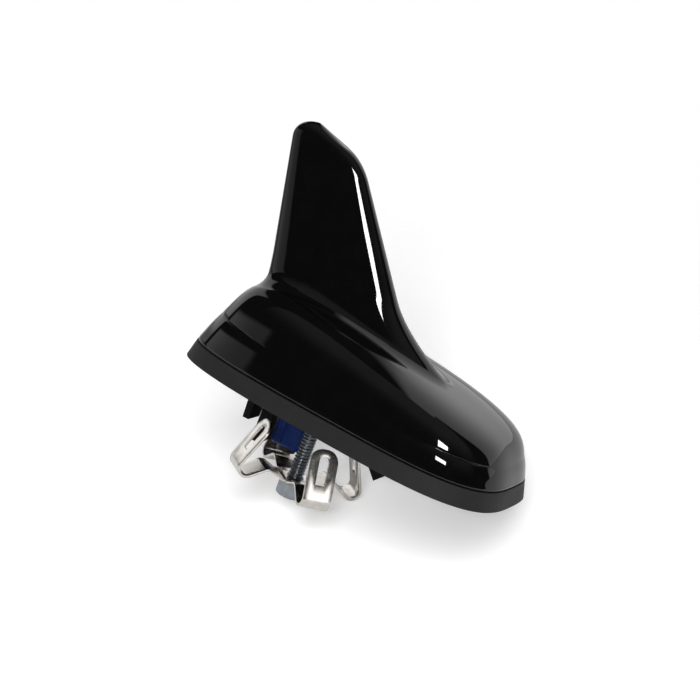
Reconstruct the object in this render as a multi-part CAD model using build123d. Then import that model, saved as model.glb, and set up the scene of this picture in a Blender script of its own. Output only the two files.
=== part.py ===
"""Shark fin aerial: a moulded fin cover on a gasketed base, clamped to a vehicle roof by a spring clip.

Frame: the roof is the plane z = 0, +Z is up, +X runs to the nose, and the clamp bolt's axis is x = y = 0.
"""

import os
from math import cos, pi, radians, sin, sqrt

from build123d import *

# Driving dimensions, in millimetres

# Plan of the base at the roof: a superellipse that is wider towards the nose
TAIL_X = -48.0
NOSE_X = 70.0
HALF_WIDTH = 26.0
PLAN_POWER = 3.2
PLAN_TAPER = 0.31
RING_POINTS = 32

# Rubber gasket round the base
GASKET_HEIGHT = 5.7
GASKET_DRAFT = 1.5
GASKET_RIM = 2.7
GASKET_FLOOR = 1.8
GASKET_FLANGE = 8.0

# Hood of the cover
SEAM_GAP = 0.3
COVER_WALL = 2.0
HOOD_PEAK_X = -20.0
HOOD_PEAK_Z = 34.6
HOOD_NOSE_Z = 18.1
HOOD_RIDGE_POWER = 1.42
HOOD_TAIL_LEAN = 12.1
HOOD_NOSE_LEAN = 5.6
HOOD_SIDE_LEAN = 3.0
HOOD_SHOULDER_POWER = 8.0
HOOD_WALL_RISES = (0.0, 0.15, 0.3, 0.45, 0.6)
HOOD_SHOULDER_ANGLES = (15.0, 30.0, 46.0, 62.0, 76.0, 85.0, 89.0, 89.8, 89.98)

# Fin of the cover: both edges are raked, given at a reference height, and flare towards the root
FIN_FOOT_Z = 22.0
FIN_REFERENCE_Z = 36.0
FIN_TAIL_X = -32.5
FIN_NOSE_X = 16.8
FIN_TAIL_RAKE = 0.1985
FIN_NOSE_RAKE = 0.746
FIN_FLARE_Z = 43.5
FIN_TAIL_FLARE = 0.0055
FIN_NOSE_FLARE = 0.042
FIN_TAIL_TOP_Z = 85.1
FIN_NOSE_TOP_Z = 81.2
FIN_FOOT_HALF = 6.6
FIN_TOP_HALF = 3.2
FIN_POWER = 2.4
FIN_TAPER = 0.12
FIN_TAIL_ROUND = 9.6
FIN_NOSE_ROUND = 5.5
FIN_TOP_ROUND = 7.1
FIN_SHAFT_STEPS = 6
FIN_ROUND_ANGLES = (0.0, 25.0, 48.0, 66.0, 80.0)
FIN_WALL = 1.5
FIN_ROOT_RADIUS = 6.0

# Screws that hold the cover, from below, in bosses inside the cover
COVER_SCREW_PLACES = ((-29.0, 7.5), (-29.0, -7.5), (47.0, 14.0), (47.0, -14.0))
COVER_BOSS_RADIUS = 3.2
COVER_SCREW_RADIUS = 1.2
COVER_SCREW_HEAD_RADIUS = 2.5
COVER_SCREW_HEAD_HEIGHT = 1.6
COVER_SCREW_GRIP = 9.0
SCREW_CLEARANCE = 0.05

# Base plate
BASE_THICKNESS = 3.4
BASE_CLEARANCE = 0.15
BOLT_BOSS_RADIUS = 4.8
BOLT_BOSS_TOP = 7.4
BOLT_BOSS_BOTTOM = -4.0

# Locating pegs and guard post below the base
REAR_PEG_X = -21.6
REAR_PEG_FOOT = 3.2
REAR_PEG_TIP = 2.2
REAR_PEG_WIDTH = 8.0
REAR_PEG_DEPTH = 11.7
FRONT_PEG_X = 26.4
FRONT_PEG_FOOT = 5.6
FRONT_PEG_WIDTH = 8.0
FRONT_PEG_SHOULDER = 8.2
FRONT_PEG_DEPTH = 11.3
POST_LENGTH = 4.4
POST_WIDTH = 5.0
POST_X = -17.2
POST_Y = 4.0
POST_DEPTH = 19.2
POST_STEP = 1.6

# Clamp bolt and the threaded insert it screws into
BOLT_RADIUS = 2.5
THREAD_CLEARANCE = 0.05
BOLT_TOP = 6.4
BOLT_HEAD_FLATS = 8.0
BOLT_HEAD_HEIGHT = 5.2
BOLT_FLANGE_RADIUS = 4.9
BOLT_FLANGE_HEIGHT = 1.0
INSERT_RADIUS = 3.5

# Spring clip: one strip profile, repeated round the bolt
CLIP_THICKNESS = 0.8
CLIP_WIDTH = 9.6
CLIP_LEGS = 4
CLIP_FIRST_ANGLE = 45.0
CLIP_PLATE_Z = -23.4
CLIP_PLATE_REACH = 6.0
CLIP_CREST_REACH = 11.3
CLIP_CREST_RISE = 2.4
CLIP_BEND_REACH = 24.8
CLIP_BEND_Z = -29.7
CLIP_KINK_REACH = 16.1
CLIP_KINK_Z = -9.6
CLIP_TIP_REACH = 15.0
CLIP_TIP_Z = -6.8
CLIP_BEND_RADIUS = 2.8
CLIP_TIP_RADIUS = 4.2
CLIP_HOLE_CLEARANCE = 0.3
CLIP_SLOT_WIDTH = 3.4
CLIP_SLOT_ROUND = 1.6
CLIP_SLOT_BOTTOM = -17.4
CLIP_SLOT_TOP = -8.8

# Coax connector, pointing down beside the bolt
HOUSING_LENGTH = 10.2
HOUSING_WIDTH = 7.6
HOUSING_X = -8.9
HOUSING_Y = 6.8
HOUSING_BOTTOM = -17.2
HOUSING_CORNER = 1.2
HOUSING_KEY_CHAMFER = 4.0
HOUSING_LIP = 1.0
HOUSING_RIB_WIDTH = 1.6
HOUSING_RIB_DEPTH = 0.6
HOUSING_RIB_OFFSET = -2.0
HOUSING_LATCH_WIDTH = 2.4
HOUSING_LATCH_HEIGHT = 3.0
HOUSING_LATCH_DEPTH = 0.5
HOUSING_LATCH_OFFSET = 3.3
HOUSING_LATCH_Z = -10.0
HOUSING_CLEARANCE = 0.25
SHELL_RADIUS = 3.2
SHELL_WALL = 0.5
SHELL_DROP = 1.6
INSULATOR_RECESS = 5.0
PIN_RADIUS = 0.45
PIN_DROP = 3.2
FIT_CLEARANCE = 0.04

# Circuit board on four pillars of the base
BOARD_TAIL_X = -23.5
BOARD_NOSE_X = 38.0
BOARD_HALF_WIDTH = 12.5
BOARD_CORNER = 2.0
BOARD_THICKNESS = 1.2
BOARD_LIFT = 2.8
PILLAR_RADIUS = 2.4
PILLAR_MARGIN = 3.4
BOARD_SCREW_RADIUS = 0.95
BOARD_SCREW_HEAD_RADIUS = 1.9
BOARD_SCREW_HEAD_HEIGHT = 1.3
BOARD_SCREW_LENGTH = 5.0

# Amplifier can and patch aerial on the board
CAN_LENGTH = 22.0
CAN_WIDTH = 6.4
CAN_HEIGHT = 3.6
CAN_WALL = 0.4
CAN_X = -5.0
CAN_Y = -8.4
PATCH_SIZE = 18.0
PATCH_HEIGHT = 4.0
PATCH_CORNER = 0.8
PATCH_X = 22.0
ELECTRODE_MARGIN = 1.6
ELECTRODE_THICKNESS = 0.12
FEED_RADIUS = 0.5
FEED_HEAD_RADIUS = 1.0
FEED_HEAD_HEIGHT = 0.4
FEED_OFFSET = 2.0

# Upright board in the fin
FIN_BOARD_THICKNESS = 1.0
FIN_BOARD_TAIL_MARGIN = 7.0
FIN_BOARD_NOSE_MARGIN = 9.0
FIN_BOARD_TOP_Z = 72.0
FIN_BOARD_NECK_Z = 34.0
FIN_BOARD_FOOT_TAIL_X = -14.0
FIN_BOARD_FOOT_NOSE_X = 6.0
FIN_BOARD_SEAT = 1.4
ELEMENT_THICKNESS = 0.12
ELEMENT_MARGIN = 1.5
HOLDER_LENGTH = 24.0
HOLDER_WIDTH = 5.0
HOLDER_HEIGHT = 5.0

# Levels worked out from the sizes above
SEAM_Z = GASKET_HEIGHT + SEAM_GAP
GASKET_INSET = GASKET_DRAFT + GASKET_RIM
BASE_BOTTOM = GASKET_FLOOR
BASE_TOP = GASKET_FLOOR + BASE_THICKNESS
BASE_INSET = GASKET_INSET + BASE_CLEARANCE
BOARD_BOTTOM = BASE_TOP + BOARD_LIFT
BOARD_TOP = BOARD_BOTTOM + BOARD_THICKNESS
CLIP_UNDERSIDE = CLIP_PLATE_Z - CLIP_THICKNESS / 2
BOLT_HEAD_BOTTOM = CLIP_UNDERSIDE - BOLT_FLANGE_HEIGHT - BOLT_HEAD_HEIGHT
CUT_MARGIN = 1.0


def ring(tail, nose, half_width, power, taper, start=pi / 2):
    """Closed curve of a tapered superellipse between two points (x, z) of the middle plane."""
    points = []
    for step in range(RING_POINTS):
        angle = start + 2 * pi * step / RING_POINTS
        reach = (abs(cos(angle)) ** power + abs(sin(angle)) ** power) ** (-1 / power)
        along = reach * cos(angle)
        share = (along + 1) / 2
        x = tail[0] + (nose[0] - tail[0]) * share
        z = tail[1] + (nose[1] - tail[1]) * share
        points.append((x, half_width * (1 + taper * along) * reach * sin(angle), z))
    return Wire([Edge.make_spline(points, periodic=True)])


def plan_ring(inset, z):
    """The base's plan, drawn in by an inset, at one height."""
    return ring((TAIL_X + inset, z), (NOSE_X - inset, z), HALF_WIDTH - inset, PLAN_POWER, PLAN_TAPER)


def plan_slab(inset, bottom, top):
    """Plate with the base's plan between two heights."""
    return extrude(make_face(plan_ring(inset, bottom).edges()), amount=top - bottom, dir=(0, 0, 1))


def ridge_height(x):
    """Height of the hood's ridge line, which falls from its peak by a power of the distance."""
    share = abs(x - HOOD_PEAK_X) / (NOSE_X - HOOD_PEAK_X)
    return HOOD_PEAK_Z - (HOOD_PEAK_Z - HOOD_NOSE_Z) * share ** HOOD_RIDGE_POWER


def hood_ring(rise, shrink, wall):
    """One level of the hood: rise is its share of the ridge's height, shrink its rounding."""
    inset = GASKET_DRAFT + wall
    middle = (TAIL_X + NOSE_X) / 2
    tail_reach = (middle - TAIL_X - inset - HOOD_TAIL_LEAN * rise) * shrink
    nose_reach = (NOSE_X - middle - inset - HOOD_NOSE_LEAN * rise) * shrink
    half_width = (HALF_WIDTH - inset - HOOD_SIDE_LEAN * rise) * shrink
    ends = []
    for x in (middle - tail_reach, middle + nose_reach):
        ends.append((x, SEAM_Z + rise * (ridge_height(x) - wall - SEAM_Z)))
    return ring(ends[0], ends[1], half_width, PLAN_POWER, PLAN_TAPER)


def hood_solid(wall):
    """Solid dome of the hood, drawn in all round by a wall."""
    power = HOOD_SHOULDER_POWER
    rings = []
    for rise in HOOD_WALL_RISES:
        rings.append(hood_ring(rise, (1 - rise ** power) ** (1 / power), wall))
    for angle in HOOD_SHOULDER_ANGLES:
        turn = radians(angle)
        rings.append(hood_ring(sin(turn) ** (2 / power), cos(turn) ** (2 / power), wall))
    return Solid.make_loft(rings)


def fin_tail(z):
    """Straight trailing edge of the fin at a height."""
    return FIN_TAIL_X - FIN_TAIL_RAKE * (z - FIN_REFERENCE_Z)


def fin_nose(z):
    """Straight leading edge of the fin at a height."""
    return FIN_NOSE_X - FIN_NOSE_RAKE * (z - FIN_REFERENCE_Z)


def fin_ring(rise, drop, wall, inset, thin):
    """One level of the fin: rise is its share of the fin's height, drop its distance below that."""
    tail_z = FIN_FOOT_Z + rise * (FIN_TAIL_TOP_Z - wall - FIN_FOOT_Z) - drop
    nose_z = FIN_FOOT_Z + rise * (FIN_NOSE_TOP_Z - wall - FIN_FOOT_Z) - drop
    tail_flare = FIN_TAIL_FLARE * max(FIN_FLARE_Z - tail_z, 0) ** 2
    nose_flare = FIN_NOSE_FLARE * max(FIN_FLARE_Z - nose_z, 0) ** 2
    tail = (fin_tail(tail_z) + wall + FIN_TAIL_ROUND * inset - tail_flare, tail_z)
    nose = (fin_nose(nose_z) - wall - FIN_NOSE_ROUND * inset + nose_flare, nose_z)
    half = (FIN_FOOT_HALF + rise * (FIN_TOP_HALF - FIN_FOOT_HALF) - wall) * thin
    return ring(tail, nose, half, FIN_POWER, FIN_TAPER, start=pi)


def fin_shaft(wall):
    """Straight part of the fin, from inside the hood to the start of its rounded top."""
    rings = []
    for step in range(FIN_SHAFT_STEPS + 1):
        share = step / FIN_SHAFT_STEPS
        rings.append(fin_ring(share, FIN_TOP_ROUND * share, wall, 0, 1))
    return Solid.make_loft(rings)


def fin_top(wall):
    """Rounded top of the fin."""
    rings = []
    for angle in FIN_ROUND_ANGLES:
        turn = radians(angle)
        rings.append(fin_ring(1, FIN_TOP_ROUND * (1 - sin(turn)), wall, 1 - cos(turn), sqrt(cos(turn))))
    return Solid.make_loft(rings)


def disc(x, y, radius, bottom, top):
    """Upright cylinder between two heights."""
    align = (Align.CENTER, Align.CENTER, Align.MIN)
    return Pos(x, y, bottom) * Cylinder(radius, top - bottom, align=align)


def block(x, y, length, width, bottom, top):
    """Upright block between two heights, centred on a point."""
    align = (Align.CENTER, Align.CENTER, Align.MIN)
    return Pos(x, y, bottom) * Box(length, width, top - bottom, align=align)


def make_fin_cover():
    """Hood and fin with a blended root, hollow inside, with four screw bosses."""
    hood = hood_solid(0)
    shaft = fin_shaft(0)
    body = hood + shaft
    root = new_edges(hood, shaft, combined=body)
    body = fillet(root, FIN_ROOT_RADIUS) + fin_top(0)
    hollow = hood_solid(COVER_WALL) + fin_shaft(FIN_WALL) + fin_top(FIN_WALL)
    hollow += plan_slab(GASKET_DRAFT + COVER_WALL, SEAM_Z - CUT_MARGIN, SEAM_Z)
    cover = body - hollow
    inside = body + plan_slab(GASKET_INSET, BASE_TOP, SEAM_Z)
    bore = COVER_SCREW_RADIUS + SCREW_CLEARANCE
    for x, y in COVER_SCREW_PLACES:
        cover += disc(x, y, COVER_BOSS_RADIUS, BASE_TOP, HOOD_PEAK_Z) & inside
        cover -= disc(x, y, bore, BASE_TOP, BASE_TOP + COVER_SCREW_GRIP + CUT_MARGIN)
    return cover


def make_base_gasket():
    """Rubber rim with a drafted outside and a flat flange under the base plate."""
    rim = Solid.make_loft([plan_ring(0, 0), plan_ring(GASKET_DRAFT, GASKET_HEIGHT)])
    rim -= plan_slab(GASKET_INSET, GASKET_FLOOR, GASKET_HEIGHT + CUT_MARGIN)
    return rim - plan_slab(GASKET_INSET + GASKET_FLANGE, -CUT_MARGIN, GASKET_FLOOR + CUT_MARGIN)


def pillar_places():
    """Centres of the four board pillars."""
    places = []
    for x in (BOARD_TAIL_X + PILLAR_MARGIN, BOARD_NOSE_X - PILLAR_MARGIN):
        for y in (BOARD_HALF_WIDTH - PILLAR_MARGIN, PILLAR_MARGIN - BOARD_HALF_WIDTH):
            places.append((x, y))
    return places


def peg(outline, width):
    """Peg drawn in the middle plane and given a width."""
    return extrude(Plane.XZ * make_face(Polyline(*outline, close=True)), amount=width / 2, both=True)


def housing_sketch(grow):
    """Plan of the connector's housing, with its keyed corner."""
    plan = Rectangle(HOUSING_LENGTH + 2 * grow, HOUSING_WIDTH + 2 * grow)
    key = plan.vertices().sort_by(Axis.X)[:2].sort_by(Axis.Y)[-1]
    plan = chamfer(key, HOUSING_KEY_CHAMFER)
    return fillet(plan.vertices(), HOUSING_CORNER)


def make_base_plate():
    """Plate with bolt boss, board pillars, locating pegs, guard post and an opening for the connector."""
    plate = plan_slab(BASE_INSET, BASE_BOTTOM, BASE_TOP)
    plate += disc(0, 0, BOLT_BOSS_RADIUS, BOLT_BOSS_BOTTOM, BOLT_BOSS_TOP)
    for x, y in pillar_places():
        plate += disc(x, y, PILLAR_RADIUS, BASE_BOTTOM, BOARD_BOTTOM)
    rear = [(REAR_PEG_X - REAR_PEG_FOOT / 2, BASE_TOP), (REAR_PEG_X + REAR_PEG_FOOT / 2, BASE_TOP)]
    for half in (REAR_PEG_TIP / 2, -REAR_PEG_TIP / 2):
        rear.append((REAR_PEG_X + half, -REAR_PEG_DEPTH))
    plate += peg(rear, REAR_PEG_WIDTH)
    front = [(FRONT_PEG_X - FRONT_PEG_FOOT / 2, BASE_TOP), (FRONT_PEG_X + FRONT_PEG_FOOT / 2, BASE_TOP)]
    front += [(FRONT_PEG_X + FRONT_PEG_FOOT / 2, -FRONT_PEG_SHOULDER), (FRONT_PEG_X, -FRONT_PEG_DEPTH)]
    front += [(FRONT_PEG_X - FRONT_PEG_FOOT / 2, -FRONT_PEG_SHOULDER)]
    plate += peg(front, FRONT_PEG_WIDTH)
    post = block(POST_X, POST_Y, POST_LENGTH, POST_WIDTH, -POST_DEPTH, BASE_TOP)
    step_x = POST_X + POST_LENGTH / 2
    step = block(step_x, POST_Y, 2 * POST_STEP, POST_WIDTH, -POST_DEPTH, POST_STEP - POST_DEPTH)
    plate += post - step
    opening = Pos(HOUSING_X, HOUSING_Y, BASE_BOTTOM - CUT_MARGIN) * housing_sketch(HOUSING_CLEARANCE)
    plate -= extrude(opening, amount=BASE_THICKNESS + 2 * CUT_MARGIN)
    plate -= disc(0, 0, INSERT_RADIUS, BOLT_BOSS_BOTTOM, BOLT_BOSS_TOP)
    bore = BOARD_SCREW_RADIUS + SCREW_CLEARANCE
    depth = BOARD_SCREW_LENGTH - BOARD_THICKNESS + SCREW_CLEARANCE
    for x, y in pillar_places():
        plate -= disc(x, y, bore, BOARD_BOTTOM - depth, BOARD_BOTTOM)
    bore = COVER_SCREW_RADIUS + SCREW_CLEARANCE
    sink = COVER_SCREW_HEAD_RADIUS + SCREW_CLEARANCE
    for x, y in COVER_SCREW_PLACES:
        plate -= disc(x, y, bore, BASE_BOTTOM, BASE_TOP)
        plate -= disc(x, y, sink, BASE_BOTTOM, BASE_BOTTOM + COVER_SCREW_HEAD_HEIGHT)
    return plate


def make_bolt_insert():
    """Brass sleeve in the base's boss that takes the bolt's thread."""
    sleeve = disc(0, 0, INSERT_RADIUS, BOLT_BOSS_BOTTOM, BOLT_BOSS_TOP)
    return sleeve - disc(0, 0, BOLT_RADIUS + THREAD_CLEARANCE, BOLT_BOSS_BOTTOM, BOLT_BOSS_TOP)


def make_clamp_bolt():
    """Flanged hexagon bolt, head down, its shank in the insert."""
    shank = disc(0, 0, BOLT_RADIUS, CLIP_UNDERSIDE, BOLT_TOP)
    shank = chamfer(shank.edges().sort_by(Axis.Z)[-1], BOLT_RADIUS / 5)
    flange = disc(0, 0, BOLT_FLANGE_RADIUS, CLIP_UNDERSIDE - BOLT_FLANGE_HEIGHT, CLIP_UNDERSIDE)
    corner_radius = BOLT_HEAD_FLATS / sqrt(3)
    head = extrude(Pos(0, 0, BOLT_HEAD_BOTTOM) * RegularPolygon(corner_radius, 6), amount=BOLT_HEAD_HEIGHT)
    bevel = Pos(0, 0, BOLT_HEAD_BOTTOM) * Cone(
        BOLT_HEAD_FLATS / 2, BOLT_HEAD_FLATS / 2 + BOLT_HEAD_HEIGHT, BOLT_HEAD_HEIGHT,
        align=(Align.CENTER, Align.CENTER, Align.MIN))
    return shank + flange + (head & bevel)


def make_clip_leg():
    """One leg along +X: a bent strip from the bolt out, round the bend and up, with a slot near its tip."""
    path = FilletPolyline(
        (0, CLIP_PLATE_Z),
        (CLIP_PLATE_REACH, CLIP_PLATE_Z),
        (CLIP_CREST_REACH, CLIP_PLATE_Z + CLIP_CREST_RISE),
        (CLIP_BEND_REACH, CLIP_BEND_Z),
        (CLIP_KINK_REACH, CLIP_KINK_Z),
        (CLIP_TIP_REACH, CLIP_TIP_Z),
        radius=CLIP_BEND_RADIUS)
    section = make_face(path.wire().offset_2d(CLIP_THICKNESS / 2, kind=Kind.INTERSECTION).edges())
    strip = extrude(Plane.XZ * section, amount=CLIP_WIDTH / 2, both=True)
    length = CLIP_TIP_Z - CLIP_BEND_Z + CLIP_BEND_RADIUS + CLIP_THICKNESS
    face = Pos(0, CLIP_TIP_Z - length / 2) * Rectangle(CLIP_WIDTH, length)
    face = fillet(face.vertices().group_by(Axis.Y)[-1], CLIP_TIP_RADIUS)
    strip &= extrude(Plane.YZ * face, amount=CLIP_BEND_REACH + CLIP_BEND_RADIUS)
    slot_middle = (CLIP_SLOT_BOTTOM + CLIP_SLOT_TOP) / 2
    slot = Pos(0, slot_middle) * Rectangle(CLIP_SLOT_WIDTH, CLIP_SLOT_TOP - CLIP_SLOT_BOTTOM)
    slot = fillet(slot.vertices().group_by(Axis.Y)[-1], CLIP_SLOT_ROUND)
    slot_start = CLIP_CREST_REACH + CLIP_THICKNESS
    cut = extrude(Plane.YZ.offset(slot_start) * slot, amount=CLIP_BEND_REACH)
    return strip - cut


def make_retaining_clip():
    """Four legs folded from one strip cross, with the bolt's hole in the middle."""
    leg = make_clip_leg()
    clip = None
    for index in range(CLIP_LEGS):
        turned = Rot(0, 0, CLIP_FIRST_ANGLE + index * 360 / CLIP_LEGS) * leg
        clip = turned if clip is None else clip + turned
    hole_bottom = CLIP_UNDERSIDE - CUT_MARGIN
    return clip - disc(0, 0, BOLT_RADIUS + CLIP_HOLE_CLEARANCE, hole_bottom, CLIP_PLATE_Z + CLIP_THICKNESS)


def make_connector_housing():
    """Keyed housing with a rounded lower lip, a side rib, a latch stop and a bore for the barrel."""
    body = extrude(housing_sketch(0), amount=BOARD_BOTTOM - HOUSING_BOTTOM)
    body = fillet(body.faces().sort_by(Axis.Z)[0].edges(), HOUSING_LIP)
    rib_length = -HOUSING_BOTTOM - 2 * HOUSING_LIP
    body += Pos(HOUSING_RIB_OFFSET, -HOUSING_WIDTH / 2, HOUSING_LIP + rib_length / 2) * Box(
        HOUSING_RIB_WIDTH, 2 * HOUSING_RIB_DEPTH, rib_length)
    body += Pos(HOUSING_LATCH_OFFSET, -HOUSING_WIDTH / 2, HOUSING_LATCH_Z - HOUSING_BOTTOM) * Box(
        HOUSING_LATCH_WIDTH, 2 * HOUSING_LATCH_DEPTH, HOUSING_LATCH_HEIGHT)
    body -= disc(0, 0, SHELL_RADIUS + FIT_CLEARANCE, 0, BOARD_BOTTOM - HOUSING_BOTTOM)
    return Pos(HOUSING_X, HOUSING_Y, HOUSING_BOTTOM) * body


def make_connector_shell():
    """Outer contact barrel, which stands out below the housing."""
    bottom = HOUSING_BOTTOM - SHELL_DROP
    tube = disc(HOUSING_X, HOUSING_Y, SHELL_RADIUS, bottom, BOARD_BOTTOM)
    return tube - disc(HOUSING_X, HOUSING_Y, SHELL_RADIUS - SHELL_WALL, bottom, BOARD_BOTTOM)


def make_connector_insulator():
    """Insulator inside the barrel, set back from its mouth."""
    bottom = HOUSING_BOTTOM - SHELL_DROP + INSULATOR_RECESS
    core = disc(HOUSING_X, HOUSING_Y, SHELL_RADIUS - SHELL_WALL - FIT_CLEARANCE, bottom, BOARD_BOTTOM)
    return core - disc(HOUSING_X, HOUSING_Y, PIN_RADIUS + FIT_CLEARANCE, bottom, BOARD_BOTTOM)


def make_connector_pin():
    """Centre pin that stands out of the insulator."""
    bottom = HOUSING_BOTTOM - SHELL_DROP + INSULATOR_RECESS - PIN_DROP
    pin = disc(HOUSING_X, HOUSING_Y, PIN_RADIUS, bottom, BOARD_BOTTOM)
    return chamfer(pin.edges().sort_by(Axis.Z)[0], PIN_RADIUS / 3)


def make_main_board():
    """Circuit board with screw holes over the pillars."""
    plan = Rectangle(BOARD_NOSE_X - BOARD_TAIL_X, 2 * BOARD_HALF_WIDTH)
    plan = fillet(plan.vertices(), BOARD_CORNER)
    middle = (BOARD_TAIL_X + BOARD_NOSE_X) / 2
    board = extrude(Pos(middle, 0, BOARD_BOTTOM) * plan, amount=BOARD_THICKNESS)
    for x, y in pillar_places():
        board -= disc(x, y, BOARD_SCREW_RADIUS + SCREW_CLEARANCE, BOARD_BOTTOM, BOARD_TOP)
    return board


def make_board_screws():
    """Pan-head screws through the board into its pillars."""
    screws = []
    for x, y in pillar_places():
        shank = disc(x, y, BOARD_SCREW_RADIUS, BOARD_TOP - BOARD_SCREW_LENGTH, BOARD_TOP)
        head = disc(x, y, BOARD_SCREW_HEAD_RADIUS, BOARD_TOP, BOARD_TOP + BOARD_SCREW_HEAD_HEIGHT)
        screws.append(shank + head)
    return Compound(children=screws)


def make_cover_screws():
    """Screws up through the base plate into the cover's bosses, heads sunk in the plate."""
    screws = []
    for x, y in COVER_SCREW_PLACES:
        shank = disc(x, y, COVER_SCREW_RADIUS, BASE_BOTTOM, BASE_TOP + COVER_SCREW_GRIP)
        head = disc(x, y, COVER_SCREW_HEAD_RADIUS, BASE_BOTTOM, BASE_BOTTOM + COVER_SCREW_HEAD_HEIGHT)
        screws.append(shank + head)
    return Compound(children=screws)


def make_shield_can():
    """Folded metal can, open below, over the amplifier."""
    can = block(CAN_X, CAN_Y, CAN_LENGTH, CAN_WIDTH, BOARD_TOP, BOARD_TOP + CAN_HEIGHT)
    inner_length = CAN_LENGTH - 2 * CAN_WALL
    inner_width = CAN_WIDTH - 2 * CAN_WALL
    return can - block(CAN_X, CAN_Y, inner_length, inner_width, BOARD_TOP, BOARD_TOP + CAN_HEIGHT - CAN_WALL)


def make_patch_ceramic():
    """Square ceramic block of the patch aerial, drilled for its feed pin."""
    plan = fillet(Rectangle(PATCH_SIZE, PATCH_SIZE).vertices(), PATCH_CORNER)
    tile = extrude(Pos(PATCH_X, 0, BOARD_TOP) * plan, amount=PATCH_HEIGHT)
    bore = FEED_RADIUS + FIT_CLEARANCE
    return tile - disc(PATCH_X + FEED_OFFSET, 0, bore, BOARD_TOP, BOARD_TOP + PATCH_HEIGHT)


def make_patch_electrode():
    """Silver electrode on the ceramic."""
    side = PATCH_SIZE - 2 * ELECTRODE_MARGIN
    bottom = BOARD_TOP + PATCH_HEIGHT
    top = bottom + ELECTRODE_THICKNESS
    sheet = block(PATCH_X, 0, side, side, bottom, top)
    return sheet - disc(PATCH_X + FEED_OFFSET, 0, FEED_RADIUS + FIT_CLEARANCE, bottom, top)


def make_patch_feed_pin():
    """Feed pin from the board through the ceramic, with a flat head on the electrode."""
    head_bottom = BOARD_TOP + PATCH_HEIGHT + ELECTRODE_THICKNESS
    x = PATCH_X + FEED_OFFSET
    pin = disc(x, 0, FEED_RADIUS, BOARD_TOP, head_bottom)
    return pin + disc(x, 0, FEED_HEAD_RADIUS, head_bottom, head_bottom + FEED_HEAD_HEIGHT)


def fin_board_blade(margin):
    """Upper outline (x, z) of the fin's board, nose side first, drawn in by a margin."""
    top = FIN_BOARD_TOP_Z - margin
    neck = FIN_BOARD_NECK_Z + margin
    return [
        (fin_nose(neck) - FIN_BOARD_NOSE_MARGIN - margin, neck),
        (fin_nose(top) - FIN_BOARD_NOSE_MARGIN - margin, top),
        (fin_tail(top) + FIN_BOARD_TAIL_MARGIN + margin, top),
        (fin_tail(neck) + FIN_BOARD_TAIL_MARGIN + margin, neck),
    ]


def make_fin_board():
    """Upright board that stands in its holder and widens into the fin."""
    seat = BOARD_TOP + FIN_BOARD_SEAT
    shoulder = BOARD_TOP + HOLDER_HEIGHT
    foot = [(FIN_BOARD_FOOT_TAIL_X, shoulder), (FIN_BOARD_FOOT_TAIL_X, seat)]
    foot += [(FIN_BOARD_FOOT_NOSE_X, seat), (FIN_BOARD_FOOT_NOSE_X, shoulder)]
    return peg(foot + fin_board_blade(0), FIN_BOARD_THICKNESS)


def make_fin_board_element():
    """Copper radiator on one face of the fin's board."""
    sheet = peg(fin_board_blade(ELEMENT_MARGIN), ELEMENT_THICKNESS)
    return Pos(0, -(FIN_BOARD_THICKNESS + ELEMENT_THICKNESS) / 2, 0) * sheet


def make_fin_board_holder():
    """Slotted block on the main board that the fin's board stands in."""
    middle = (FIN_BOARD_FOOT_TAIL_X + FIN_BOARD_FOOT_NOSE_X) / 2
    holder = block(middle, 0, HOLDER_LENGTH, HOLDER_WIDTH, BOARD_TOP, BOARD_TOP + HOLDER_HEIGHT)
    length = FIN_BOARD_FOOT_NOSE_X - FIN_BOARD_FOOT_TAIL_X + 2 * FIT_CLEARANCE
    width = FIN_BOARD_THICKNESS + 2 * FIT_CLEARANCE
    return holder - block(middle, 0, length, width, BOARD_TOP + FIN_BOARD_SEAT, BOARD_TOP + HOLDER_HEIGHT)


MAKERS = {
    "fin_cover": make_fin_cover,
    "base_gasket": make_base_gasket,
    "base_plate": make_base_plate,
    "bolt_insert": make_bolt_insert,
    "clamp_bolt": make_clamp_bolt,
    "retaining_clip": make_retaining_clip,
    "connector_housing": make_connector_housing,
    "connector_shell": make_connector_shell,
    "connector_insulator": make_connector_insulator,
    "connector_pin": make_connector_pin,
    "main_board": make_main_board,
    "board_screws": make_board_screws,
    "cover_screws": make_cover_screws,
    "shield_can": make_shield_can,
    "patch_ceramic": make_patch_ceramic,
    "patch_electrode": make_patch_electrode,
    "patch_feed_pin": make_patch_feed_pin,
    "fin_board": make_fin_board,
    "fin_board_element": make_fin_board_element,
    "fin_board_holder": make_fin_board_holder,
}


def main():
    os.makedirs("parts", exist_ok=True)
    for name, maker in MAKERS.items():
        export_step(maker(), f"parts/{name}.step")


main()
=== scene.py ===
"""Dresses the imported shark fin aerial: cover, bent clip, threaded bolt, materials, light and camera.

Sizes are in millimetres, as in the part's source, and meshes are made in metres.
"""

from math import atan2, ceil, cos, pi, radians, sin

import bmesh
import bpy
import numpy as np
from mathutils import Matrix, Vector


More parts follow.
